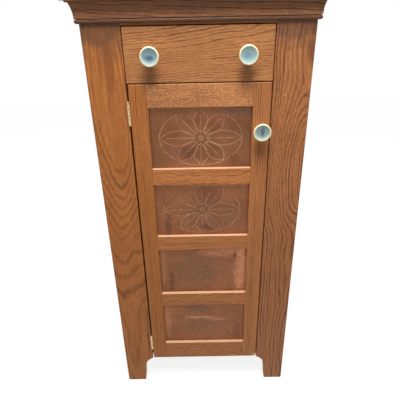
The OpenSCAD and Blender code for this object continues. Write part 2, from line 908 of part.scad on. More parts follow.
module panel_beads(i) {
    x0 = panel_x0 - panel_rabbet;
    x1 = panel_x1 + panel_rabbet;
    y = rabbet_y + panel_t;
    z0 = panel_z(i) - panel_rabbet;
    z1 = panel_z(i) + panel_h + panel_rabbet;
    color(oak) {
        along_x(x0, x1) translate([y, z0]) mirror([1, -1]) bead_section();
        along_x(x0, x1) translate([y, z1]) rotate(-90) bead_section();
        along_z(panel_z(i) + bead_joint, panel_z(i) + panel_h - bead_joint) {
            translate([x0, y]) bead_section();
            translate([x1, y]) mirror([1, 0]) bead_section();
        }
    }
}

// ---- Knobs ----

// Half section of a knob: base, concave neck, flared head and dished face
module knob_section() {
    r = knob_d / 2;
    neck_x = knob_neck_d / 2 + knob_neck_r;
    neck_z = knob_base_h + sqrt(pow(knob_neck_r, 2) - pow(neck_x - knob_base_d / 2, 2));
    dish_r = r - knob_rim_w;
    dish_curve = (dish_r * dish_r + knob_dish * knob_dish) / (2 * knob_dish);
    difference() {
        union() {
            square([knob_base_d / 2, neck_z]);
            polygon([
                [0, neck_z], [knob_neck_d / 2, neck_z],
                [r - knob_flare_inset, knob_h - 2 * knob_rim_r], [r - knob_rim_r, knob_h],
                [0, knob_h]
            ]);
            translate([r - knob_rim_r, knob_h - knob_rim_r]) circle(r = knob_rim_r);
        }
        translate([neck_x, neck_z]) circle(r = knob_neck_r);
        translate([0, knob_h - knob_dish + dish_curve]) circle(r = dish_curve);
        square([knob_screw_r, knob_screw_l]);
    }
}

module knob(x, z) {
    color(stoneware) translate([x, front_y, z]) rotate([90, 0, 0])
        rotate_extrude() knob_section();
}

// Screw from behind the wood into a knob
module knob_screw(x, z) {
    rod_y(x, front_y - knob_screw_l, z, knob_screw_r, knob_screw_l + door_t);
    rod_y(x, door_back_y, z, knob_head_r, knob_head_h);
}

module drawer_knob_screws() {
    color(steel) {
        knob_screw(-drawer_knob_x, drawer_knob_z);
        knob_screw(drawer_knob_x, drawer_knob_z);
    }
}

// ---- Drawer ----

// Dovetails of one drawer side, seen in Y and Z. Each is widest at end_y, narrows towards
// root_y and runs on a little way into the side. They share the height from z0 to z1.
module tails(end_y, root_y, z0, z1, count) {
    pitch = (z1 - z0) / count;
    half = pitch * dovetail_share;
    neck = half - abs(root_y - end_y) * tan(dovetail_slope);
    inner_y = root_y + sign(root_y - end_y) * cut;
    for (i = [0:count - 1]) {
        z = z0 + (i + 0.5) * pitch;
        polygon([
            [end_y, z - half], [end_y, z + half], [root_y, z + neck], [inner_y, z + neck],
            [inner_y, z - neck], [root_y, z - neck]
        ]);
    }
}

front_tail_y = front_y + dovetail_lap;
box_back_y = inner_back_y - drawer_rear_gap;
back_root_y = box_back_y - drawer_side_t;
back_z0 = box_z + drawer_groove_z + drawer_bottom_t;
back_z1 = box_top_z - drawer_groove_d;

module front_tails(side) {
    on_side(side) along_x(drawer_x - drawer_side_t, drawer_x)
        tails(front_tail_y, door_back_y, box_z, box_top_z, dovetail_count);
}

module back_tails(side) {
    on_side(side) along_x(drawer_x - drawer_side_t, drawer_x)
        tails(box_back_y, back_root_y, back_z0, back_z1, dovetail_count - 1);
}

module drawer_front() {
    color(oak) difference() {
        board(-drawer_x, drawer_x, front_y, door_back_y, drawer_z, drawer_z + drawer_h);
        face_edges(-drawer_x, drawer_x, drawer_z, drawer_z + drawer_h);
        front_tails(-1);
        front_tails(1);
        drawer_bottom_body();
        knob_screw(-drawer_knob_x, drawer_knob_z);
        knob_screw(drawer_knob_x, drawer_knob_z);
    }
}

module drawer_side(side) {
    x0 = drawer_x - drawer_side_t;
    color(oak_pale) difference() {
        union() {
            on_side(side) board(x0, drawer_x, door_back_y, back_root_y, box_z, box_top_z);
            on_side(side) board(x0, drawer_x, back_root_y - cut, box_back_y, box_z, back_z0);
            on_side(side) board(x0, drawer_x, back_root_y - cut, box_back_y, back_z1, box_top_z);
            front_tails(side);
            back_tails(side);
        }
        drawer_bottom_body();
    }
}

module drawer_back() {
    color(oak_pale) difference() {
        board(-drawer_x, drawer_x, back_root_y, box_back_y, back_z0, back_z1);
        back_tails(-1);
        back_tails(1);
    }
}

module drawer_bottom_body() {
    x = drawer_x - drawer_side_t + drawer_groove_d;
    z = box_z + drawer_groove_z;
    board(-x, x, door_back_y - drawer_groove_d, box_back_y, z, z + drawer_bottom_t);
}

module drawer_bottom() {
    color(oak_pale) drawer_bottom_body();
}

side_panel(-1);  // side_panel_left
side_panel(1);  // side_panel_right
front_stile(-1);  // front_stile_left
front_stile(1);  // front_stile_right
top_rail();
bottom_board();
shelf(shelf_lower_z);  // shelf_lower
shelf(shelf_upper_z);  // shelf_upper
back_panel();
back_screws();
top_board();
top_cleat(frame_y);  // top_cleat_front
top_cleat(inner_back_y - cleat_t);  // top_cleat_rear
top_screws();
crown_front();
crown_side(-1);  // crown_left
crown_side(1);  // crown_right
divider_rail(frame_y);  // divider_front_rail
divider_rail(rear_rail_y);  // divider_rear_rail
drawer_runner(-1);  // drawer_runner_left
drawer_runner(1);  // drawer_runner_right
drawer_guide(-1);  // drawer_guide_left
drawer_guide(1);  // drawer_guide_right
drawer_kicker(-1);  // drawer_kicker_left
drawer_kicker(1);  // drawer_kicker_right
hinge_leaf(upper_hinge_z, -1);  // upper_hinge_frame_leaf
hinge_leaf(lower_hinge_z, -1);  // lower_hinge_frame_leaf
hinge_pins();
hinge_screws(-1);  // hinge_frame_screws
catch_body();
door_stile(-1);  // door_stile_hinge
door_stile(1);  // door_stile_latch
door_top_rail();
door_bottom_rail();
door_mid_rail(1);  // door_mid_rail_1
door_mid_rail(2);  // door_mid_rail_2
door_mid_rail(3);  // door_mid_rail_3
copper_panel(1);  // copper_panel_1
copper_panel(2);  // copper_panel_2
copper_panel(3);  // copper_panel_3
copper_panel(4);  // copper_panel_4
panel_beads(1);  // panel_beads_1
panel_beads(2);  // panel_beads_2
panel_beads(3);  // panel_beads_3
panel_beads(4);  // panel_beads_4
knob(door_knob_x, door_knob_z);  // door_knob
color(steel) knob_screw(door_knob_x, door_knob_z);  // door_knob_screw
hinge_leaf(upper_hinge_z, 1);  // upper_hinge_door_leaf
hinge_leaf(lower_hinge_z, 1);  // lower_hinge_door_leaf
hinge_screws(1);  // hinge_door_screws
catch_strike();
drawer_front();
drawer_side(-1);  // drawer_side_left
drawer_side(1);  // drawer_side_right
drawer_back();
drawer_bottom();
knob(-drawer_knob_x, drawer_knob_z);  // drawer_knob_left
knob(drawer_knob_x, drawer_knob_z);  // drawer_knob_right
drawer_knob_screws();
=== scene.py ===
"""Looks of a narrow oak bakers cabinet with punched copper door panels. Lengths are in metres."""
import json
import math
import random
from collections import namedtuple

import bpy
from mathutils import Matrix, Vector


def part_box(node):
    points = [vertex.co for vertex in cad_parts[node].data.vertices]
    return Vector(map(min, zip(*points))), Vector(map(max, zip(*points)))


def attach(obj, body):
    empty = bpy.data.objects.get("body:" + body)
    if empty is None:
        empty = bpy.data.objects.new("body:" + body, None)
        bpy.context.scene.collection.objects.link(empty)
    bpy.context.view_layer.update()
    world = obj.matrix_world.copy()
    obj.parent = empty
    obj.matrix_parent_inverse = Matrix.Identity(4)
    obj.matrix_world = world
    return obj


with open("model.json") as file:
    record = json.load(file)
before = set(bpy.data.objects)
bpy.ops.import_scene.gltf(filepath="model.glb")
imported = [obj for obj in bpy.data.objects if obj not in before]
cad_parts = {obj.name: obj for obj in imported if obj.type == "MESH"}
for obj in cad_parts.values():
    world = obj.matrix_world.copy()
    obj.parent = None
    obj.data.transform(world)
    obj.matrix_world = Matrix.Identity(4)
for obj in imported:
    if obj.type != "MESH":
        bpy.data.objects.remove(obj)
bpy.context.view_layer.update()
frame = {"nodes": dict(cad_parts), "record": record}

NODES = frame["nodes"]
MM = 0.001

# The photograph's camera: its focal length in pixels of the square frame, its place and its turns
FRAME_PIXELS = 400
FOCAL_PIXELS = 385
SENSOR = 36
CAMERA_PLACE = (-0.0009, -0.9470, 0.9939)
CAMERA_YAW = math.radians(-0.204)
CAMERA_PITCH = math.radians(26.044)
CAMERA_ROLL = math.radians(-1.164)

# Light: a key lamp in front and above, a steeper one that brings out the ledges, and a lamp behind
Lamp = namedtuple("Lamp", "name place target size power")
LAMPS = (
    Lamp("key", (0.05, -0.815, 2.10), (0.0, -0.12, 0.75), 0.55, 24),
    Lamp("overhead", (0.0, -0.46, 2.60), (0.0, -0.14, 0.50), 0.60, 16),
    Lamp("rear", (0.35, 1.50, 1.50), (0.0, 0.16, 0.55), 1.00, 16),
)
WHITE = (1, 1, 1)
SKY_STRENGTH = 0.36

# The floor: its side, its grey and how much darker that gets, its grain, and its glow to the camera
FLOOR_SIZE = 8
FLOOR_GREY = 0.22
FLOOR_MOTTLE = 0.97
FLOOR_GRAIN = 60
FLOOR_GLOW = 0.85

# A smooth change: where it starts and where it ends, and what the value is before and after it
Ramp = namedtuple("Ramp", "start end low high", defaults=(0.0, 1.0))


def srgb(red, green, blue):
    """A colour written as 0 to 255, as linear light."""
    shares = [value / 255 for value in (red, green, blue)]
    return tuple(s / 12.92 if s <= 0.04045 else ((s + 0.055) / 1.055) ** 2.4 for s in shares)


# ---- Node helpers ----

# The sockets that a Mix node uses for colours: factor, first and second, and the result
MIX_INPUTS = (0, 6, 7)
MIX_RESULT = 2


class Wires:
    """Adds nodes to a tree. An input may be a socket, which is linked, or a plain value."""

    def __init__(self, tree):
        self.tree = tree

    def put(self, socket, value):
        if isinstance(value, bpy.types.NodeSocket):
            self.tree.links.new(value, socket)
        elif socket.type == "RGBA" and len(value) == 3:
            socket.default_value = (*value, 1)
        else:
            socket.default_value = value

    def node(self, kind, inputs=None, **settings):
        made = self.tree.nodes.new("ShaderNode" + kind)
        for name, value in settings.items():
            setattr(made, name, value)
        for name, value in (inputs or {}).items():
            self.put(made.inputs[name], value)
        return made

    def math(self, operation, *values):
        made = self.node("Math", dict(enumerate(values)), operation=operation)
        return made.outputs[0]

    def scaled(self, vector, factors):
        made = self.node("VectorMath", {0: vector, 1: factors}, operation="MULTIPLY")
        return made.outputs[0]

    def added(self, vector, shift):
        made = self.node("VectorMath", {0: vector, 1: shift}, operation="ADD")
        return made.outputs[0]

    def ease(self, value, start, end, low=0.0, high=1.0):
        """low up to start, high from end, and a smooth change between them."""
        numbers = {
            "Value": value, "From Min": start, "From Max": end, "To Min": low, "To Max": high}
        made = self.node("MapRange", numbers, interpolation_type="SMOOTHSTEP")
        return made.outputs[0]

    def noise(self, vector, scale=1.0, detail=2.0, roughness=0.5):
        numbers = {"Vector": vector, "Scale": scale, "Detail": detail, "Roughness": roughness}
        return self.node("TexNoise", numbers).outputs[0]

    def streaks(self, vector, factors, **settings):
        """Noise that is drawn finer by a factor along each axis."""
        return self.noise(self.scaled(vector, factors), **settings)

    def swing(self, noise, size=1.0):
        """Noise that runs from half a size below 0 to half a size above it."""
        return self.math("MULTIPLY_ADD", noise, size, -size / 2)

    def cracks(self, vector, scale):
        """How far each point is from the nearest edge of a cell."""
        numbers = {"Vector": vector, "Scale": scale}
        return self.node("TexVoronoi", numbers, feature="DISTANCE_TO_EDGE").outputs["Distance"]

    def mix(self, factor, first, second):
        made = self.node("Mix", dict(zip(MIX_INPUTS, (factor, first, second))), data_type="RGBA")
        return made.outputs[MIX_RESULT]

    def bump(self, height, distance):
        return self.node("Bump", {"Height": height, "Distance": distance}).outputs[0]

    def xyz(self, vector):
        made = self.node("SeparateXYZ", {0: vector})
        return {axis: made.outputs[i] for i, axis in enumerate("XYZ")}

    def vector(self, x, y, z):
        return self.node("CombineXYZ", {0: x, 1: y, 2: z}).outputs[0]

    def offset(self, value, middle, half):
        """How far a value is from a middle, in half sizes."""
        return self.math("MULTIPLY", self.math("SUBTRACT", value, middle), 1 / half)

    def square_sum(self, a, b):
        squares = [self.math("POWER", number, 2.0) for number in (a, b)]
        return self.math("ADD", *squares)

    def length(self, a, b):
        """How long a flat vector of two numbers is."""
        return self.math("SQRT", self.square_sum(a, b))

    def seen(self):
        """1 for what the camera, gloss and glass see, and 0 for light that falls on things."""
        path = self.node("LightPath").outputs
        mirrored = self.math("MAXIMUM", path["Is Glossy Ray"], path["Is Transmission Ray"])
        return self.math("MAXIMUM", path["Is Camera Ray"], mirrored)


class Paint(Wires):
    """One material, whose nodes give its colour, gloss and relief."""

    def __init__(self, name):
        self.material = bpy.data.materials.new(name)
        self.material.use_nodes = True
        super().__init__(self.material.node_tree)
        self.surface = self.tree.nodes["Principled BSDF"]
        self.place = self.node("TexCoord").outputs["Object"]

    def from_middle(self, node):
        """X, Y and Z of each point, from the middle of a node's box."""
        low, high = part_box(node)
        return self.xyz(self.added(self.place, -(low + high) / 2))

    def set(self, **values):
        """Sets the surface's inputs: base_color sets Base Color."""
        for name, value in values.items():
            self.put(self.surface.inputs[name.replace("_", " ").title()], value)
        return self.material


# ---- Oak ----

# How a board was cut from its log. The growth rings lie round the pith, which is `across` to one
# side of the board's middle and `deep` behind its face there. `lean` is how fast the face leaves
# the pith along the grain, and `sink` how much further it bends away within `reach` of the point
# `near`. `ring` is a ring's width, `wave` how far the rings wander slowly and `ripple` quickly,
# `edge` the share of a ring over which its dark line begins, and `dark` how dark that line is.
# `short` is how many times its figure is shorter along the grain than that of a plain board.
CUT_PARTS = "across deep lean ring wave ripple sink near reach edge dark short"
Cut = namedtuple("Cut", CUT_PARTS, defaults=(0.005, 0.0, 0.0, 1.0, 0.12, 0.9, 1.0))
CATHEDRAL = Cut(
    0.002, 0.036, -0.02, 0.0066, 0.026, ripple=0.008, sink=0.075, near=0.35, reach=0.64,
    edge=0.28, dark=0.7)
RIFT = Cut(
    0.047, 0.008, 0.0, 0.0060, 0.020, ripple=0.014, sink=0.052, near=0.16, reach=0.20, dark=1.0)
STRAIGHT = Cut(-0.120, 0.040, 0.0, 0.0048, 0.012, dark=1.1)
WAVY = Cut(-0.050, 0.045, 0.05, 0.0050, 0.020, ripple=0.018, edge=0.2, dark=0.85, short=3.0)
RISING = Cut(0.090, 0.064, 0.13, 0.0046, 0.014, ripple=0.010, dark=1.0, short=1.3)
FALLING = Cut(0.100, 0.050, -0.10, 0.0056, 0.020, ripple=0.008, dark=1.15)
FLAT = Cut(0.010, 0.055, 0.05, 0.0062, 0.022, ripple=0.008, edge=0.2, dark=0.7)
QUARTER = Cut(0.0, 0.300, 0.02, 0.0046, 0.008)

# A finish: its colour between the rings, in the rings and in their pores, and its roughness
Finish = namedtuple("Finish", "light dark pore roughness")
HONEY = Finish(srgb(200, 126, 64), srgb(124, 64, 28), srgb(78, 36, 14), 0.40)
TAWNY = Finish(srgb(212, 138, 80), srgb(122, 66, 36), srgb(78, 38, 20), 0.40)
ROSY = Finish(srgb(198, 130, 78), srgb(108, 56, 32), srgb(70, 34, 18), 0.40)
GOLDEN = Finish(srgb(204, 143, 87), srgb(130, 66, 34), srgb(88, 42, 20), 0.40)
AMBER = Finish(srgb(222, 144, 82), srgb(138, 72, 38), srgb(96, 46, 22), 0.40)
BLOND = Finish(srgb(234, 164, 104), srgb(136, 78, 46), srgb(84, 44, 24), 0.40)
# A darker copy of the oak finish for the crown: painted shade under the top's overhang
PAINTED_SHADE_OAK = Finish(srgb(182, 122, 80), srgb(80, 48, 34), srgb(44, 24, 16), 0.44)
BARE = Finish(srgb(214, 172, 124), srgb(178, 130, 84), srgb(120, 82, 52), 0.62)
OAK_SHEEN = 0.3

# A board: the axis along its grain, the axis out of its face, its cut and its finish. Each kind of
# board comes with the pieces that are made of it.
Board = namedtuple("Board", "grain face cut finish")
BOARD_KINDS = (
    (Board("Z", "X", FLAT, HONEY), "side_panel_left side_panel_right"),
    (Board("Z", "Y", CATHEDRAL, HONEY), "front_stile_left"),
    (Board("Z", "Y", RIFT, ROSY), "front_stile_right"),
    (Board("X", "Z", FLAT, HONEY), "bottom_board shelf_lower shelf_upper top_board"),
    (Board("X", "Y", STRAIGHT, HONEY),
     "top_rail panel_beads_1 panel_beads_2 panel_beads_3 panel_beads_4"),
    (Board("X", "Y", FALLING, PAINTED_SHADE_OAK), "crown_front"),
    (Board("Y", "X", FALLING, PAINTED_SHADE_OAK), "crown_left crown_right"),
    (Board("Z", "Y", STRAIGHT, HONEY), "door_stile_hinge"),
    (Board("Z", "Y", STRAIGHT, TAWNY), "door_stile_latch"),
    (Board("X", "Y", QUARTER, BLOND), "door_top_rail"),
    (Board("X", "Y", WAVY, AMBER), "door_mid_rail_1"),
    (Board("X", "Y", STRAIGHT, TAWNY), "door_mid_rail_2"),
    (Board("X", "Y", WAVY, TAWNY), "door_mid_rail_3 door_bottom_rail"),
    (Board("X", "Y", RISING, GOLDEN), "drawer_front"),
    (Board("Z", "Y", FLAT, BARE), "back_panel"),
    (Board("X", "Y", STRAIGHT, BARE),
     "top_cleat_front top_cleat_rear divider_front_rail divider_rear_rail drawer_back"),
    (Board("Y", "Z", STRAIGHT, BARE),
     "drawer_runner_left drawer_runner_right drawer_guide_left drawer_guide_right"
     " drawer_kicker_left drawer_kicker_right"),
    (Board("Y", "X", STRAIGHT, BARE), "drawer_side_left drawer_side_right"),
    (Board("Y", "Z", FLAT, BARE), "drawer_bottom"),
)
BOARDS = {node: board for board, nodes in BOARD_KINDS for node in nodes.split()}

# The figure's noises, by how fine they are: twice across the grain, then along it
WAVE_FINE = (14, 14, 2.6)
RIPPLE_FINE = (26, 26, 9)
SHIVER_FINE = (260, 260, 30)
BREAK_FINE = (160, 160, 11)
PORE_FINE = (2600, 2600, 110)
FIBRE_FINE = (520, 520, 20)
TONE_FINE = (32, 32, 2.2)
RAY_FINE = (230, 230, 520)

# Rings: how far they shiver, the share of a ring where its dark line has faded out, how much the
# line's depth varies from year to year and its least, and what is left of it where it breaks up
SHIVER_REACH = 0.0030
LINE_END = 0.6
YEAR_SPREAD = 0.85
YEAR_LEAST = 0.2
BREAKS = Ramp(0.3, 0.6, 0.45, 1.0)

# Pores: the level of noise above which one shows, how far a dark ring lowers it, and their edge
PORE_LEVEL = 0.62
PORE_CROWDING = -0.16
PORE_EDGE = 0.08

# Where fibres show, and how much they, broad bands of tone, rays and pores darken the finish
FIBRES = Ramp(0.35, 0.65)
FIBRE_SHARE = 0.34
TONE_SHARE = Ramp(0.3, 0.7, 0.0, 0.26)
RAY_SHARE = Ramp(0.46, 0.56, 0.0, 0.62)
PORE_SHARE = 0.75

# Relief: how deep a pore is, how deep a ring's line is beside it, and how dull a pore is
PORE_DEPTH = 0.05 * MM
RING_HOLLOW = -0.5
PORE_MATT = 0.2

# How far along the log a board may come from, to either side
LOG_SHIFT = 40

FIGURE_INPUTS = ("Ring", "Wave", "Ripple", "Edge", "Dark")
FIGURE_OUTPUTS = ("Rings", "Pores", "Fibres", "Tone")


def figure_tree():
    """An empty node group with the figure's inputs and outputs."""
    tree = bpy.data.node_groups.new("oak_figure", "ShaderNodeTree")
    tree.interface.new_socket(name="Place", in_out="INPUT", socket_type="NodeSocketVector")
    for name in FIGURE_INPUTS:
        tree.interface.new_socket(name=name, in_out="INPUT", socket_type="NodeSocketFloat")
    for name in FIGURE_OUTPUTS:
        tree.interface.new_socket(name=name, in_out="OUTPUT", socket_type="NodeSocketFloat")
    return tree


def ring_radius(wires, given):
    """Distance from the pith. Rings wander slowly along the log, and shiver between fibres."""
    axes = wires.xyz(given["Place"])
    radius = wires.length(axes["X"], axes["Y"])
    for name, fine in (("Wave", WAVE_FINE), ("Ripple", RIPPLE_FINE)):
        bend = wires.swing(wires.streaks(given["Place"], fine, detail=1.0))
        radius = wires.math("ADD", radius, wires.math("MULTIPLY", bend, given[name]))
    shiver = wires.swing(wires.streaks(given["Place"], SHIVER_FINE))
    return wires.math("MULTIPLY_ADD", shiver, SHIVER_REACH, radius)


def ring_lines(wires, given):
    """A ring starts with a dark line. Some years leave it faint, and it breaks up on its way."""
    count = wires.math("DIVIDE", ring_radius(wires, given), given["Ring"])
    phase = wires.math("FRACT", count)
    begun = wires.ease(phase, 0.0, given["Edge"])
    line = wires.math("MULTIPLY", begun, wires.ease(phase, given["Edge"], LINE_END, 1.0, 0.0))
    year = wires.node("TexWhiteNoise", {"W": wires.math("FLOOR", count)}, noise_dimensions="1D")
    depth = wires.math("MULTIPLY_ADD", year.outputs["Value"], YEAR_SPREAD, YEAR_LEAST)
    whole = wires.ease(wires.streaks(given["Place"], BREAK_FINE), *BREAKS)
    rings = wires.math("MULTIPLY", wires.math("MULTIPLY", line, depth), whole)
    return wires.math("MULTIPLY", rings, given["Dark"])


def pore_strokes(wires, given, rings):
    """Short dark strokes along the grain, close together where a ring is dark."""
    strokes = wires.streaks(given["Place"], PORE_FINE, detail=1.0)
    level = wires.math("MULTIPLY_ADD", rings, PORE_CROWDING, PORE_LEVEL)
    return wires.ease(wires.math("SUBTRACT", strokes, level), 0.0, PORE_EDGE)


def oak_figure():
    """The node group that turns a place in a log into rings, pores, fibres and bands of tone."""
    tree = figure_tree()
    wires = Wires(tree)
    given = tree.nodes.new("NodeGroupInput").outputs
    result = tree.nodes.new("NodeGroupOutput").inputs
    rings = ring_lines(wires, given)
    pores = pore_strokes(wires, given, rings)
    fibres = wires.ease(wires.streaks(given["Place"], FIBRE_FINE, detail=3.0), *FIBRES)
    tone = wires.streaks(given["Place"], TONE_FINE, detail=4.0, roughness=0.66)
    for name, value in zip(FIGURE_OUTPUTS, (rings, pores, fibres, tone)):
        wires.put(result[name], value)
    return tree


def log_place(paint, node, board):
    """Where each point of a board was in its log: X and Y from the pith, Z along the grain."""
    cut = board.cut
    side = ({"X", "Y", "Z"} - {board.grain, board.face}).pop()
    axes = paint.from_middle(node)
    along = axes[board.grain]
    past = paint.math("ABSOLUTE", paint.math("SUBTRACT", along, cut.near))
    far = paint.ease(past, 0.0, cut.reach, 0.0, cut.sink)
    away = paint.math("MULTIPLY_ADD", along, cut.lean, cut.deep)
    depth = paint.math("ADD", axes[board.face], paint.math("ADD", away, far))
    across = paint.math("SUBTRACT", axes[side], cut.across)
    shift = random.Random(node).uniform(-LOG_SHIFT, LOG_SHIFT)
    return paint.vector(across, depth, paint.math("MULTIPLY_ADD", along, cut.short, shift))


def ray_flecks(paint):
    """The short flecks of a board cut along the rays."""
    return paint.ease(paint.streaks(paint.place, RAY_FINE, detail=3.0, roughness=0.6), *RAY_SHARE)


def figured(paint, board, rings, pores, fibres, tone):
    """The colour of a board's figure under its finish."""
    finish = board.finish
    colour = paint.mix(paint.ease(tone, *TONE_SHARE), finish.light, finish.dark)
    colour = paint.mix(paint.math("MULTIPLY", fibres, FIBRE_SHARE), colour, finish.dark)
    if board.cut == QUARTER:
        colour = paint.mix(ray_flecks(paint), colour, finish.dark)
    colour = paint.mix(rings, colour, finish.dark)
    return paint.mix(paint.math("MULTIPLY", pores, PORE_SHARE), colour, finish.pore)


def oak(node, board, figure):
    """Finished oak for one board."""
    paint = Paint("oak_" + node)
    group = paint.node("Group", node_tree=figure)
    paint.put(group.inputs["Place"], log_place(paint, node, board))
    for name in FIGURE_INPUTS:
        paint.put(group.inputs[name], getattr(board.cut, name.lower()))
    rings, pores, fibres, tone = (group.outputs[name] for name in FIGURE_OUTPUTS)
    colour = figured(paint, board, rings, pores, fibres, tone)
    # Marks: worn spots, figure, and painted shade
    for mark in MARKS.get(node, ()):
        colour = paint.mix(mark_mask(paint, mark), colour, mark.colour)
    # Painted highlight on the upward faces of the rails
    if node in RAILS:
        colour = paint.mix(ledge_highlight_mask(paint), colour, LEDGE_HIGHLIGHT_OAK)
    relief = paint.math("MULTIPLY_ADD", pores, -1.0, paint.math("MULTIPLY", rings, RING_HOLLOW))
    gloss = paint.math("MULTIPLY_ADD", pores, PORE_MATT, board.finish.roughness)
    paint.put(paint.surface.inputs["Specular IOR Level"], OAK_SHEEN)
    return paint.set(base_color=colour, roughness=gloss, normal=paint.bump(relief, PORE_DEPTH))


# The rails whose upper edges carry panels. Their upward faces are painted paler by how far up they
# face: a painted highlight where light from above falls.
RAILS = ("door_mid_rail_1", "door_mid_rail_2", "door_mid_rail_3", "door_bottom_rail")
LEDGE_HIGHLIGHT_OAK = srgb(228, 184, 146)
HIGHLIGHT_FACING_UP = Ramp(0.35, 0.9, 0.0, 0.85)


def ledge_highlight_mask(paint):
    """Where a rail's painted highlight goes: high on its upper edge, and fading out over its
    rounded corner.
    """
    normal = paint.xyz(paint.node("TexCoord").outputs["Normal"])
    return paint.ease(normal["Z"], *HIGHLIGHT_FACING_UP)


# A place where the finish differs, or where shade is painted on: its middle on the front, its half
# sizes, colour and strength
Mark = namedtuple("Mark", "x z wide high colour strength")
RAW_OAK = srgb(232, 178, 142)
# The colour of painted shade, laid over the tops of the stiles
PAINTED_SHADE = srgb(88, 62, 48)
BROWN = srgb(118, 60, 26)
# The colour of painted shade along the crown's bead, under the top's overhang
BEAD_PAINTED_SHADE = srgb(58, 36, 24)
MARKS = {
    "door_stile_latch": (
        Mark(0.1450, 0.0953, 0.0075, 0.0085, RAW_OAK, 0.95),
        Mark(0.1159, 0.1261, 0.0024, 0.0034, RAW_OAK, 0.6),
        # Painted shade over the top of the latch stile
        Mark(0.1300, 0.8450, 0.0700, 0.0800, PAINTED_SHADE, 0.16),
    ),
    "front_stile_right": (
        Mark(0.1762, 0.8372, 0.0022, 0.0024, RAW_OAK, 0.7),
        # Painted shade at the top of the stile, under the crown's overhang
        Mark(0.1900, 0.9850, 0.0900, 0.0600, PAINTED_SHADE, 0.55),
    ),
    "front_stile_left": (
        # Painted shade at the top of the stile, under the crown's overhang
        Mark(-0.1900, 0.9850, 0.0900, 0.0850, PAINTED_SHADE, 0.65),
        Mark(-0.1795, 0.8900, 0.0110, 0.0550, BROWN, 0.45),
        Mark(-0.1990, 0.9000, 0.0050, 0.0600, BROWN, 0.4),
    ),
    # Painted shade along the crown's bead
    "crown_front": (Mark(0.0000, 0.9790, 0.6000, 0.0100, BEAD_PAINTED_SHADE, 0.6),),
}

# A mark's edge: how fine its ragged line is, and where it fades out, in half sizes
MARK_FINE = 2.5
MARK_EDGE = (0.5, 1.0)


def mark_mask(paint, mark):
    """Full in the middle of a mark and 0 outside it, with a ragged edge."""
    axes = paint.xyz(paint.place)
    across = paint.offset(axes["X"], mark.x, mark.wide)
    up = paint.offset(axes["Z"], mark.z, mark.high)
    factors = (1 / mark.wide, 1 / mark.wide, 1 / mark.high)
    ragged = paint.swing(paint.streaks(paint.place, factors, scale=MARK_FINE))
    far = paint.math("ADD", paint.length(across, up), ragged)
    return paint.ease(far, *MARK_EDGE, mark.strength, 0.0)


# ---- Punched copper ----

# The rosette of punches, with the sizes that its holes have in the sheet
PANEL_LAP = 7.5 * MM
RING_INSET_X = 19 * MM
RING_INSET_Z = 5.5 * MM
PETALS = 8
PETAL_TIP_GAP = 3 * MM
PETAL_ROOT = 13 * MM
PETAL_HALF_WIDTH = 16.5 * MM
PETAL_SWELL = 1.05
PETAL_BLUNT = 0.7
PETAL_PART_GAP = 1.2 * MM
MIDRIB_SHARE = 0.85
EYE_RADIUS = 5 * MM
PUNCH_STEP = 4.2 * MM
PUNCH_WIDTH = 1 * MM
RIB_CLEARANCE = 1.8 * PUNCH_WIDTH
CURVE_GRAIN = 40

# The burr that a punch raises round its hole: radius and height of its foot, crest and inner lip,
# then how much burrs differ in size, and how far the points of one lie in or out
BURR_SIDES = 8
BURR_RINGS = ((1.1 * MM, -0.02 * MM), (0.75 * MM, 0.4 * MM), (0.55 * MM, 0.12 * MM))
BURR_SIZES = (0.8, 1.15)
BURR_WOBBLE = (0.88, 1.12)


def opening(node):
    """The middle of a panel, and the half width and half height that its frame leaves open."""
    low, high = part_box(node)
    half_width = (high.x - low.x) / 2 - PANEL_LAP
    half_height = (high.z - low.z) / 2 - PANEL_LAP
    return (low + high) / 2, half_width, half_height


def spaced(path):
    """Evenly spaced points along a path, without its two ends."""
    runs = [0.0]
    for start, end in zip(path, path[1:]):
        runs.append(runs[-1] + math.dist(start, end))
    count = round(runs[-1] / PUNCH_STEP)
    points = []
    leg = 0
    for k in range(1, count):
        run = k * runs[-1] / count
        while runs[leg + 1] < run:
            leg += 1
        share = (run - runs[leg]) / (runs[leg + 1] - runs[leg])
        points.append(tuple(a + share * (b - a) for a, b in zip(path[leg], path[leg + 1])))
    return points


def petal_point(angle, out, aside=0.0):
    """A point at a distance out along a petal and to one side of its midrib."""
    return (out * math.cos(angle) - aside * math.sin(angle),
            out * math.sin(angle) + aside * math.cos(angle))


def petal_half(share, out):
    """Half width of a petal at a share of its length, which ends short of its neighbour."""
    swell = max(0.0, math.sin(math.pi * share ** PETAL_SWELL)) ** PETAL_BLUNT
    return min(PETAL_HALF_WIDTH * swell, out * math.tan(math.pi / PETALS) - PETAL_PART_GAP)


def petal_edge(angle, tip, side):
    """Punches along one edge of a petal."""
    path = []
    for i in range(CURVE_GRAIN + 1):
        share = i / CURVE_GRAIN
        out = PETAL_ROOT + (tip - PETAL_ROOT) * share
        path.append(petal_point(angle, out, side * petal_half(share, out)))
    return spaced(path)


def petal_punches(angle, tip):
    """Punches of a petal: its edges where they are clear of its midrib, its tip and its midrib."""
    edges = petal_edge(angle, tip, 1) + petal_edge(angle, tip, -1)
    off_rib = [p for p in edges
               if abs(p[1] * math.cos(angle) - p[0] * math.sin(angle)) > RIB_CLEARANCE]
    ribs = int((tip - PETAL_ROOT) * MIDRIB_SHARE / PUNCH_STEP)
    midrib = [petal_point(angle, PETAL_ROOT + k * PUNCH_STEP) for k in range(ribs + 1)]
    return off_rib + [petal_point(angle, tip)] + midrib


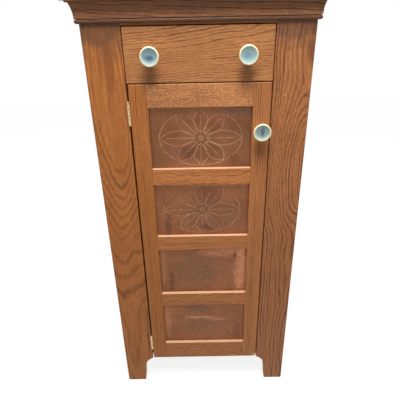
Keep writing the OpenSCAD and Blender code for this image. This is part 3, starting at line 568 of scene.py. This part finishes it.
def rosette(half_width, half_height):
    """All punches of a panel, from the middle of its opening: ring, eye and petals."""
    a = half_width - RING_INSET_X
    b = half_height - RING_INSET_Z
    turns = [i * math.pi / 2 / CURVE_GRAIN for i in range(4 * CURVE_GRAIN + 1)]
    punches = [(a, 0.0), (0.0, 0.0)]
    punches += spaced([(a * math.cos(t), b * math.sin(t)) for t in turns])
    for k in range(PETALS):
        angle = 2 * math.pi * k / PETALS
        ring = a * b / math.hypot(b * math.cos(angle), a * math.sin(angle))
        punches += petal_punches(angle, ring - PETAL_TIP_GAP)
        punches.append(petal_point(angle + math.pi / PETALS, EYE_RADIUS))
    return punches


def burr_points(x, front, z, chance):
    """Points of one burr on the front of a sheet, ring by ring from its foot to its inner lip."""
    points = []
    swell = chance.uniform(*BURR_SIZES)
    for radius, height in BURR_RINGS:
        for k in range(BURR_SIDES):
            turn = 2 * math.pi * k / BURR_SIDES
            reach = radius * swell * chance.uniform(*BURR_WOBBLE)
            points.append(
                (x + reach * math.cos(turn), front - height * swell, z + reach * math.sin(turn)))
    return points


def burr_faces(first):
    """Faces between the rings of one burr, whose points start with number first."""
    faces = []
    for ring in range(len(BURR_RINGS) - 1):
        base = first + ring * BURR_SIDES
        for k in range(BURR_SIDES):
            n = (k + 1) % BURR_SIDES
            faces.append((base + k, base + n, base + BURR_SIDES + n, base + BURR_SIDES + k))
    return faces


def punch_burrs(node, material):
    """The raised edges of a panel's punches, on the front of its sheet."""
    middle, half_width, half_height = opening(node)
    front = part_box(node)[0].y
    chance = random.Random(node)
    points = []
    faces = []
    for u, v in rosette(half_width, half_height):
        faces += burr_faces(len(points))
        points += burr_points(middle.x + u, front, middle.z + v, chance)
    piece = new_piece(node + "_burrs", points, faces, material)
    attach(piece, "door")


# A stain on a panel. u and v run from -1 to 1 across the opening and up it, wide and high are the
# stain's half sizes on the same scale, and strength is how much of the sheet's colour it hides.
Stain = namedtuple("Stain", "u v wide high colour strength")
GREEN_GREY = srgb(110, 84, 60)
BLUE_GREY = srgb(106, 80, 70)
OLIVE = srgb(120, 84, 54)
UMBER = srgb(88, 54, 38)
PINK = srgb(206, 142, 104)
STAINS = {
    "copper_panel_1": (
        Stain(0.85, 0.9, 0.45, 0.25, BLUE_GREY, 0.8),
        Stain(0.9, 0.2, 0.3, 0.7, OLIVE, 0.6),
        Stain(-0.97, 0.0, 0.25, 1.2, OLIVE, 0.7),
        Stain(-0.28, -0.45, 0.2, 0.28, UMBER, 0.5),
        Stain(-0.05, -0.95, 0.5, 0.2, PINK, 0.3),
        Stain(0.0, 0.0, 1.6, 1.6, UMBER, 0.12),
    ),
    "copper_panel_2": (
        Stain(-0.75, -0.6, 0.08, 0.5, UMBER, 0.7),
        Stain(0.06, -0.66, 0.12, 0.10, UMBER, 0.8),
        Stain(0.14, -0.74, 0.10, 0.08, UMBER, 0.7),
        Stain(0.12, 0.55, 0.35, 0.45, UMBER, 0.35),
        Stain(0.3, -0.2, 0.6, 0.6, GREEN_GREY, 0.5),
        Stain(0.2, 1.0, 0.9, 0.12, PINK, 0.35),
    ),
    "copper_panel_3": (
        Stain(-0.15, 0.05, 0.55, 0.8, GREEN_GREY, 0.75),
        Stain(-0.75, -0.5, 0.25, 0.6, OLIVE, 0.5),
        Stain(0.88, 0.0, 0.14, 1.1, PINK, 0.75),
        Stain(0.45, 0.85, 0.6, 0.25, PINK, 0.5),
        Stain(-0.93, 0.2, 0.08, 0.8, PINK, 0.25),
        Stain(-0.75, -0.5, 0.07, 0.5, UMBER, 0.8),
        Stain(0.74, 0.66, 0.05, 0.14, UMBER, 0.9),
    ),
    "copper_panel_4": (
        Stain(-0.15, 0.72, 0.3, 0.24, BLUE_GREY, 0.8),
        Stain(0.0, -0.1, 0.6, 0.5, GREEN_GREY, 0.5),
        Stain(-0.1, 0.26, 0.4, 0.07, PINK, 0.7),
        Stain(0.3, 0.14, 0.3, 0.06, PINK, 0.6),
        Stain(-0.94, 0.1, 0.12, 0.8, PINK, 0.35),
        Stain(0.85, -0.5, 0.12, 0.4, UMBER, 0.4),
    ),
}

# A stain's edge: how fine and how wide its ragged line is, and where it fades out, in squares of
# the stain's half sizes. Then how stains break up over the sheet.
STAIN_FINE = 170
STAIN_BLUR = 7.0
STAIN_EDGE = (0.2, 1.4)
SPOTTING_FINE = 420
SPOTTING = Ramp(0.36, 0.56, 0.4, 1.0)

# The sheet: its two browns and the clouds between them, its pale and its dark specks, how rough
# the clouds leave it, and how far they raise it. Each sheet comes from its own part of the noise.
SHEET_BROWN = srgb(129, 82, 53)
SHEET_PALE = srgb(150, 97, 66)
CLOUD_FINE = 24
CLOUDS = Ramp(0.36, 0.64)
SPECK_FINE = 330
PALE_SPECKS = Ramp(0.6, 0.72, 0.0, 0.45)
DARK_SPECKS = Ramp(0.28, 0.40, 0.5, 0.0)
SHEET_GLOSS = Ramp(0.3, 0.7, 0.40, 0.58)
SHEET_DENTS = 0.4 * MM
SHEET_SHIFTS = (1, 9)


def stain_mask(paint, u, v, stain, blur):
    """Full in the middle of a stain and 0 outside it, with a ragged edge."""
    across = paint.offset(u, stain.u, stain.wide)
    up = paint.offset(v, stain.v, stain.high)
    far = paint.math("ADD", paint.square_sum(across, up), blur)
    return paint.ease(far, *STAIN_EDGE, stain.strength, 0.0)


def stained(paint, node, place, body):
    """The sheet's colour with the panel's own stains."""
    _, half_width, half_height = opening(node)
    axes = paint.from_middle(node)
    u = paint.math("DIVIDE", axes["X"], half_width)
    v = paint.math("DIVIDE", axes["Z"], half_height)
    blur = paint.swing(paint.noise(place, STAIN_FINE, detail=6.0, roughness=0.8), STAIN_BLUR)
    spotting = paint.ease(paint.noise(place, SPOTTING_FINE, detail=3.0), *SPOTTING)
    for stain in STAINS[node]:
        mask = paint.math("MULTIPLY", stain_mask(paint, u, v, stain, blur), spotting)
        body = paint.mix(mask, body, stain.colour)
    return body


def copper(node):
    """Aged copper sheet: brown patina in clouds, the panel's own stains, and fine specks."""
    paint = Paint(node + "_patina")
    place = paint.added(paint.place, (0, random.Random(node).uniform(*SHEET_SHIFTS), 0))
    cloud = paint.noise(place, CLOUD_FINE, detail=6.0, roughness=0.62)
    specks = paint.noise(place, SPECK_FINE, detail=3.0)
    body = paint.mix(paint.ease(cloud, *CLOUDS), SHEET_BROWN, SHEET_PALE)
    body = stained(paint, node, place, body)
    body = paint.mix(paint.ease(specks, *PALE_SPECKS), body, PINK)
    body = paint.mix(paint.ease(specks, *DARK_SPECKS), body, UMBER)
    gloss = paint.ease(cloud, *SHEET_GLOSS)
    normal = paint.bump(cloud, SHEET_DENTS)
    return paint.set(base_color=body, metallic=0.8, roughness=gloss, normal=normal)


# Hands rub a panel's punching bright across its middle and at its foot. Both fade out between two
# heights from the panel's middle. Then how bright each panel's punching is at most.
RUBBED_BAND = Ramp(6 * MM, 24 * MM, 0.3, 0.0)
RUBBED_FOOT = Ramp(-60 * MM, -48 * MM, 0.2, 0.0)
RUBBED = {
    "copper_panel_1": 1.0,
    "copper_panel_2": 0.6,
    "copper_panel_3": 0.12,
    "copper_panel_4": 0.12,
}

# Wear differs from patch to patch and from punch to punch: how fine both are, and how much each
# counts. Then where wear begins and is full, the share of brightness that all punches have, and
# the colours of a dull and of a bright burr.
PATCH_FINE = 34
PATCH_WEAR = 0.5
PUNCH_FINE = 210
PUNCH_WEAR = 1.1
WEAR_EDGE = (0.54, 0.88)
LEAST_WEAR = 0.3
BURR_BROWN = srgb(140, 94, 68)
BURR_BRIGHT = srgb(248, 206, 168)


def burr_copper(node):
    """The raised edges of a panel's punches: here rubbed bright, there as brown as the sheet."""
    most = RUBBED[node]
    paint = Paint(node + "_rubbed")
    axes = paint.from_middle(node)
    patches = paint.noise(paint.place, PATCH_FINE, detail=1.0)
    single = paint.noise(paint.place, PUNCH_FINE, detail=1.0)
    wear = paint.math(
        "MULTIPLY_ADD", single, PUNCH_WEAR, paint.math("MULTIPLY", patches, PATCH_WEAR))
    band = paint.ease(paint.math("ABSOLUTE", axes["Z"]), *RUBBED_BAND)
    foot = paint.ease(axes["Z"], *RUBBED_FOOT)
    wear = paint.math("ADD", wear, paint.math("ADD", band, foot))
    wear = paint.ease(wear, *WEAR_EDGE, LEAST_WEAR * most, most)
    out = paint.length(axes["X"], axes["Z"])
    eye = paint.math("MULTIPLY", paint.ease(out, EYE_RADIUS, 2 * EYE_RADIUS, most, 0.0), single)
    body = paint.mix(paint.math("MAXIMUM", wear, eye), BURR_BROWN, BURR_BRIGHT)
    return paint.set(base_color=body, metallic=0.7, roughness=0.4)


# ---- Stoneware, brass, steel and plastic ----

# The glaze in the dish of a knob: its colour, the paler colour where it runs thinner and where the
# lower dish is painted lit, and a dark blot whose middle (u, v) and half sizes are shares of the
# knob's radius
Glaze = namedtuple("Glaze", "pool pale blot u v wide high")
GLAZES = {
    "drawer_knob_left": Glaze(
        srgb(112, 150, 160), srgb(186, 202, 196), srgb(50, 88, 104), 0.0, -0.12, 0.55, 0.32),
    "drawer_knob_right": Glaze(
        srgb(142, 172, 170), srgb(182, 202, 192), srgb(104, 148, 166), -0.1, -0.05, 0.45, 0.4),
    "door_knob": Glaze(
        srgb(124, 156, 156), srgb(206, 212, 194), srgb(60, 84, 102), 0.02, 0.05, 0.3, 0.7),
}
CREAM = srgb(240, 230, 190)

# The glaze's mottle and its swing, how far that moves the rim and the blot, and how much paler the
# lower half of the dish is painted than the upper: partly thinner glaze, partly painted light in
# the lower dish and painted shade under the upper rim
MOTTLE_FINE = 320
MOTTLE_SWING = 0.5
RIM_WANDER = 0.35
BLOT_WANDER = 2.4
GLAZE_AND_LIGHT_SLANT = 0.35

# Where the glaze turns pale, as it runs thinner and where the lower dish is painted lit, pale with
# mottle, dark in the blot and along cracks, and cream at the rim, in shares of the radius. Then
# where the knob's front ends, from the knob's middle.
THIN_AND_LIT = Ramp(0.55, 1.0)
MOTTLED = Ramp(0.35, 0.65, 0.0, 0.3)
BLOTTED = Ramp(0.3, 1.2, 0.85, 0.0)
CRACK_FINE = 520
CRACKED = Ramp(0.0, 0.06, 0.3, 0.0)
RIM = Ramp(0.80, 0.88)
FRONT = Ramp(-0.009, -0.006, 1.0, 0.0)


def glaze_pool(paint, glaze, u, v, out, mottle, uneven):
    """The colour of the glaze in a knob's dish."""
    # Paler towards the rim and lower down: thinner glaze, and painted light in the lower dish
    thin_and_lit = paint.math("SUBTRACT", out, paint.math("MULTIPLY", v, GLAZE_AND_LIGHT_SLANT))
    pool = paint.mix(paint.ease(thin_and_lit, *THIN_AND_LIT), glaze.pool, glaze.pale)
    pool = paint.mix(paint.ease(mottle, *MOTTLED), pool, glaze.pale)
    blot_u = paint.offset(u, glaze.u, glaze.wide)
    blot_v = paint.offset(v, glaze.v, glaze.high)
    blot = paint.math("MULTIPLY_ADD", uneven, BLOT_WANDER, paint.length(blot_u, blot_v))
    pool = paint.mix(paint.ease(blot, *BLOTTED), pool, glaze.blot)
    return paint.mix(paint.ease(paint.cracks(paint.place, CRACK_FINE), *CRACKED), pool, glaze.blot)


def stoneware(node):
    """A knob's glaze: a cream rim round a mottled blue-green dish with fine cracks."""
    low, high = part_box(node)
    reach = (high.x - low.x) / 2
    paint = Paint("glaze_" + node)
    axes = paint.from_middle(node)
    u = paint.math("DIVIDE", axes["X"], reach)
    v = paint.math("DIVIDE", axes["Z"], reach)
    mottle = paint.noise(paint.place, MOTTLE_FINE, detail=4.0, roughness=0.65)
    uneven = paint.swing(mottle, MOTTLE_SWING)
    out = paint.math("ADD", paint.length(u, v), paint.math("MULTIPLY", uneven, RIM_WANDER))
    pool = glaze_pool(paint, GLAZES[node], u, v, out, mottle, uneven)
    dish = paint.math("SUBTRACT", 1.0, paint.ease(out, *RIM))
    front = paint.ease(axes["Y"], *FRONT)
    cream = paint.math("SUBTRACT", 1.0, paint.math("MULTIPLY", front, dish))
    colour = paint.mix(cream, pool, CREAM)
    return paint.set(base_color=colour, roughness=0.16, coat_weight=0.4, coat_roughness=0.08)


# A metal: its material's name, how fine and detailed its spots are, its colours and its roughness
Metal = namedtuple("Metal", "name fine detail light dark roughness")
METALS = {
    "brass": Metal("brass_worn", 350, 4.0, srgb(226, 200, 156), srgb(164, 132, 92), 0.4),
    "steel": Metal("steel_plated", 500, 3.0, srgb(190, 192, 196), srgb(140, 142, 148), 0.36),
}
METAL_SPOTS = Ramp(0.4, 0.7)
PLASTIC_FINE = 900
PLASTIC_LIGHT = srgb(232, 228, 214)
PLASTIC_DARK = srgb(216, 210, 194)
PLASTIC_GRAIN = 0.03 * MM


def spotted(metal):
    """Metal with darker spots."""
    paint = Paint(metal.name)
    spots = paint.noise(paint.place, metal.fine, detail=metal.detail)
    body = paint.mix(paint.ease(spots, *METAL_SPOTS), metal.light, metal.dark)
    return paint.set(base_color=body, metallic=1.0, roughness=metal.roughness)


def plastic():
    """Moulded plastic with a fine grain."""
    paint = Paint("plastic_moulded")
    spots = paint.noise(paint.place, PLASTIC_FINE, detail=2.0)
    body = paint.mix(spots, PLASTIC_LIGHT, PLASTIC_DARK)
    return paint.set(base_color=body, roughness=0.5, normal=paint.bump(spots, PLASTIC_GRAIN))


# ---- Pieces and their materials ----

def new_piece(name, points, faces, material):
    """An object of its own, with one material."""
    mesh = bpy.data.meshes.new(name)
    mesh.from_pydata(points, [], faces)
    mesh.materials.append(material)
    piece = bpy.data.objects.new(name, mesh)
    bpy.context.scene.collection.objects.link(piece)
    return piece


def dress(node, material):
    """Puts a material on a node of the frame."""
    slots = NODES[node].material_slots
    if not slots:
        NODES[node].data.materials.append(material)
    for slot in slots:
        slot.material = material


def dress_all():
    """Puts a material on every node, and burrs on the panels."""
    figure = oak_figure()
    for node, board in BOARDS.items():
        dress(node, oak(node, board, figure))
    for node in GLAZES:
        dress(node, stoneware(node))
    for node in STAINS:
        dress(node, copper(node))
        punch_burrs(node, burr_copper(node))
    shared = {slot: spotted(metal) for slot, metal in METALS.items()}
    shared["plastic"] = plastic()
    for part in frame["record"]["subparts"]:
        if part["material_slot"] in shared:
            dress(part["node"], shared[part["material_slot"]])


# ---- Room, light and camera ----

def white_world():
    """A world that is white to the camera and gives weaker light."""
    world = bpy.data.worlds.new("studio")
    world.use_nodes = True
    wires = Wires(world.node_tree)
    strength = wires.math("MULTIPLY_ADD", wires.seen(), 1 - SKY_STRENGTH, SKY_STRENGTH)
    background = world.node_tree.nodes["Background"]
    wires.put(background.inputs["Color"], WHITE)
    wires.put(background.inputs["Strength"], strength)
    bpy.context.scene.world = world


def pale_floor():
    """A pale floor that keeps the object's shadow, lifted to white where the camera sees it."""
    paint = Paint("floor_pale")
    glow = paint.math("MULTIPLY", paint.seen(), FLOOR_GLOW)
    grain = paint.noise(paint.place, FLOOR_GRAIN, detail=3.0)
    grey = paint.mix(grain, (FLOOR_GREY,) * 3, (FLOOR_GREY * FLOOR_MOTTLE,) * 3)
    paint.set(base_color=grey, roughness=0.9, emission_color=WHITE, emission_strength=glow)
    half = FLOOR_SIZE / 2
    corners = [(-half, -half, 0), (half, -half, 0), (half, half, 0), (-half, half, 0)]
    floor = new_piece("floor", corners, [(0, 1, 2, 3)], paint.material)


def add_lamp(lamp):
    """A soft square lamp that points at its target."""
    data = bpy.data.lights.new(lamp.name, "AREA")
    data.shape = "SQUARE"
    data.size = lamp.size
    data.energy = lamp.power
    light = bpy.data.objects.new(lamp.name, data)
    light.location = lamp.place
    aim = Vector(lamp.target) - Vector(lamp.place)
    light.rotation_euler = aim.to_track_quat("-Z", "Y").to_euler()
    bpy.context.scene.collection.objects.link(light)


def photo_camera():
    """The camera that took the photograph, as the scene's camera."""
    lens = bpy.data.cameras.new("camera")
    lens.sensor_width = SENSOR
    lens.lens = FOCAL_PIXELS / FRAME_PIXELS * SENSOR
    camera = bpy.data.objects.new("camera", lens)
    yaw = Matrix.Rotation(-CAMERA_YAW, 4, "Z")
    pitch = Matrix.Rotation(math.pi / 2 - CAMERA_PITCH, 4, "X")
    roll = Matrix.Rotation(CAMERA_ROLL, 4, "Z")
    camera.matrix_world = Matrix.Translation(CAMERA_PLACE) @ (yaw @ pitch @ roll)
    bpy.context.scene.collection.objects.link(camera)
    bpy.context.scene.camera = camera


bpy.context.scene.view_settings.view_transform = "Standard"
dress_all()
white_world()
pale_floor()
for lamp in LAMPS:
    add_lamp(lamp)
photo_camera()
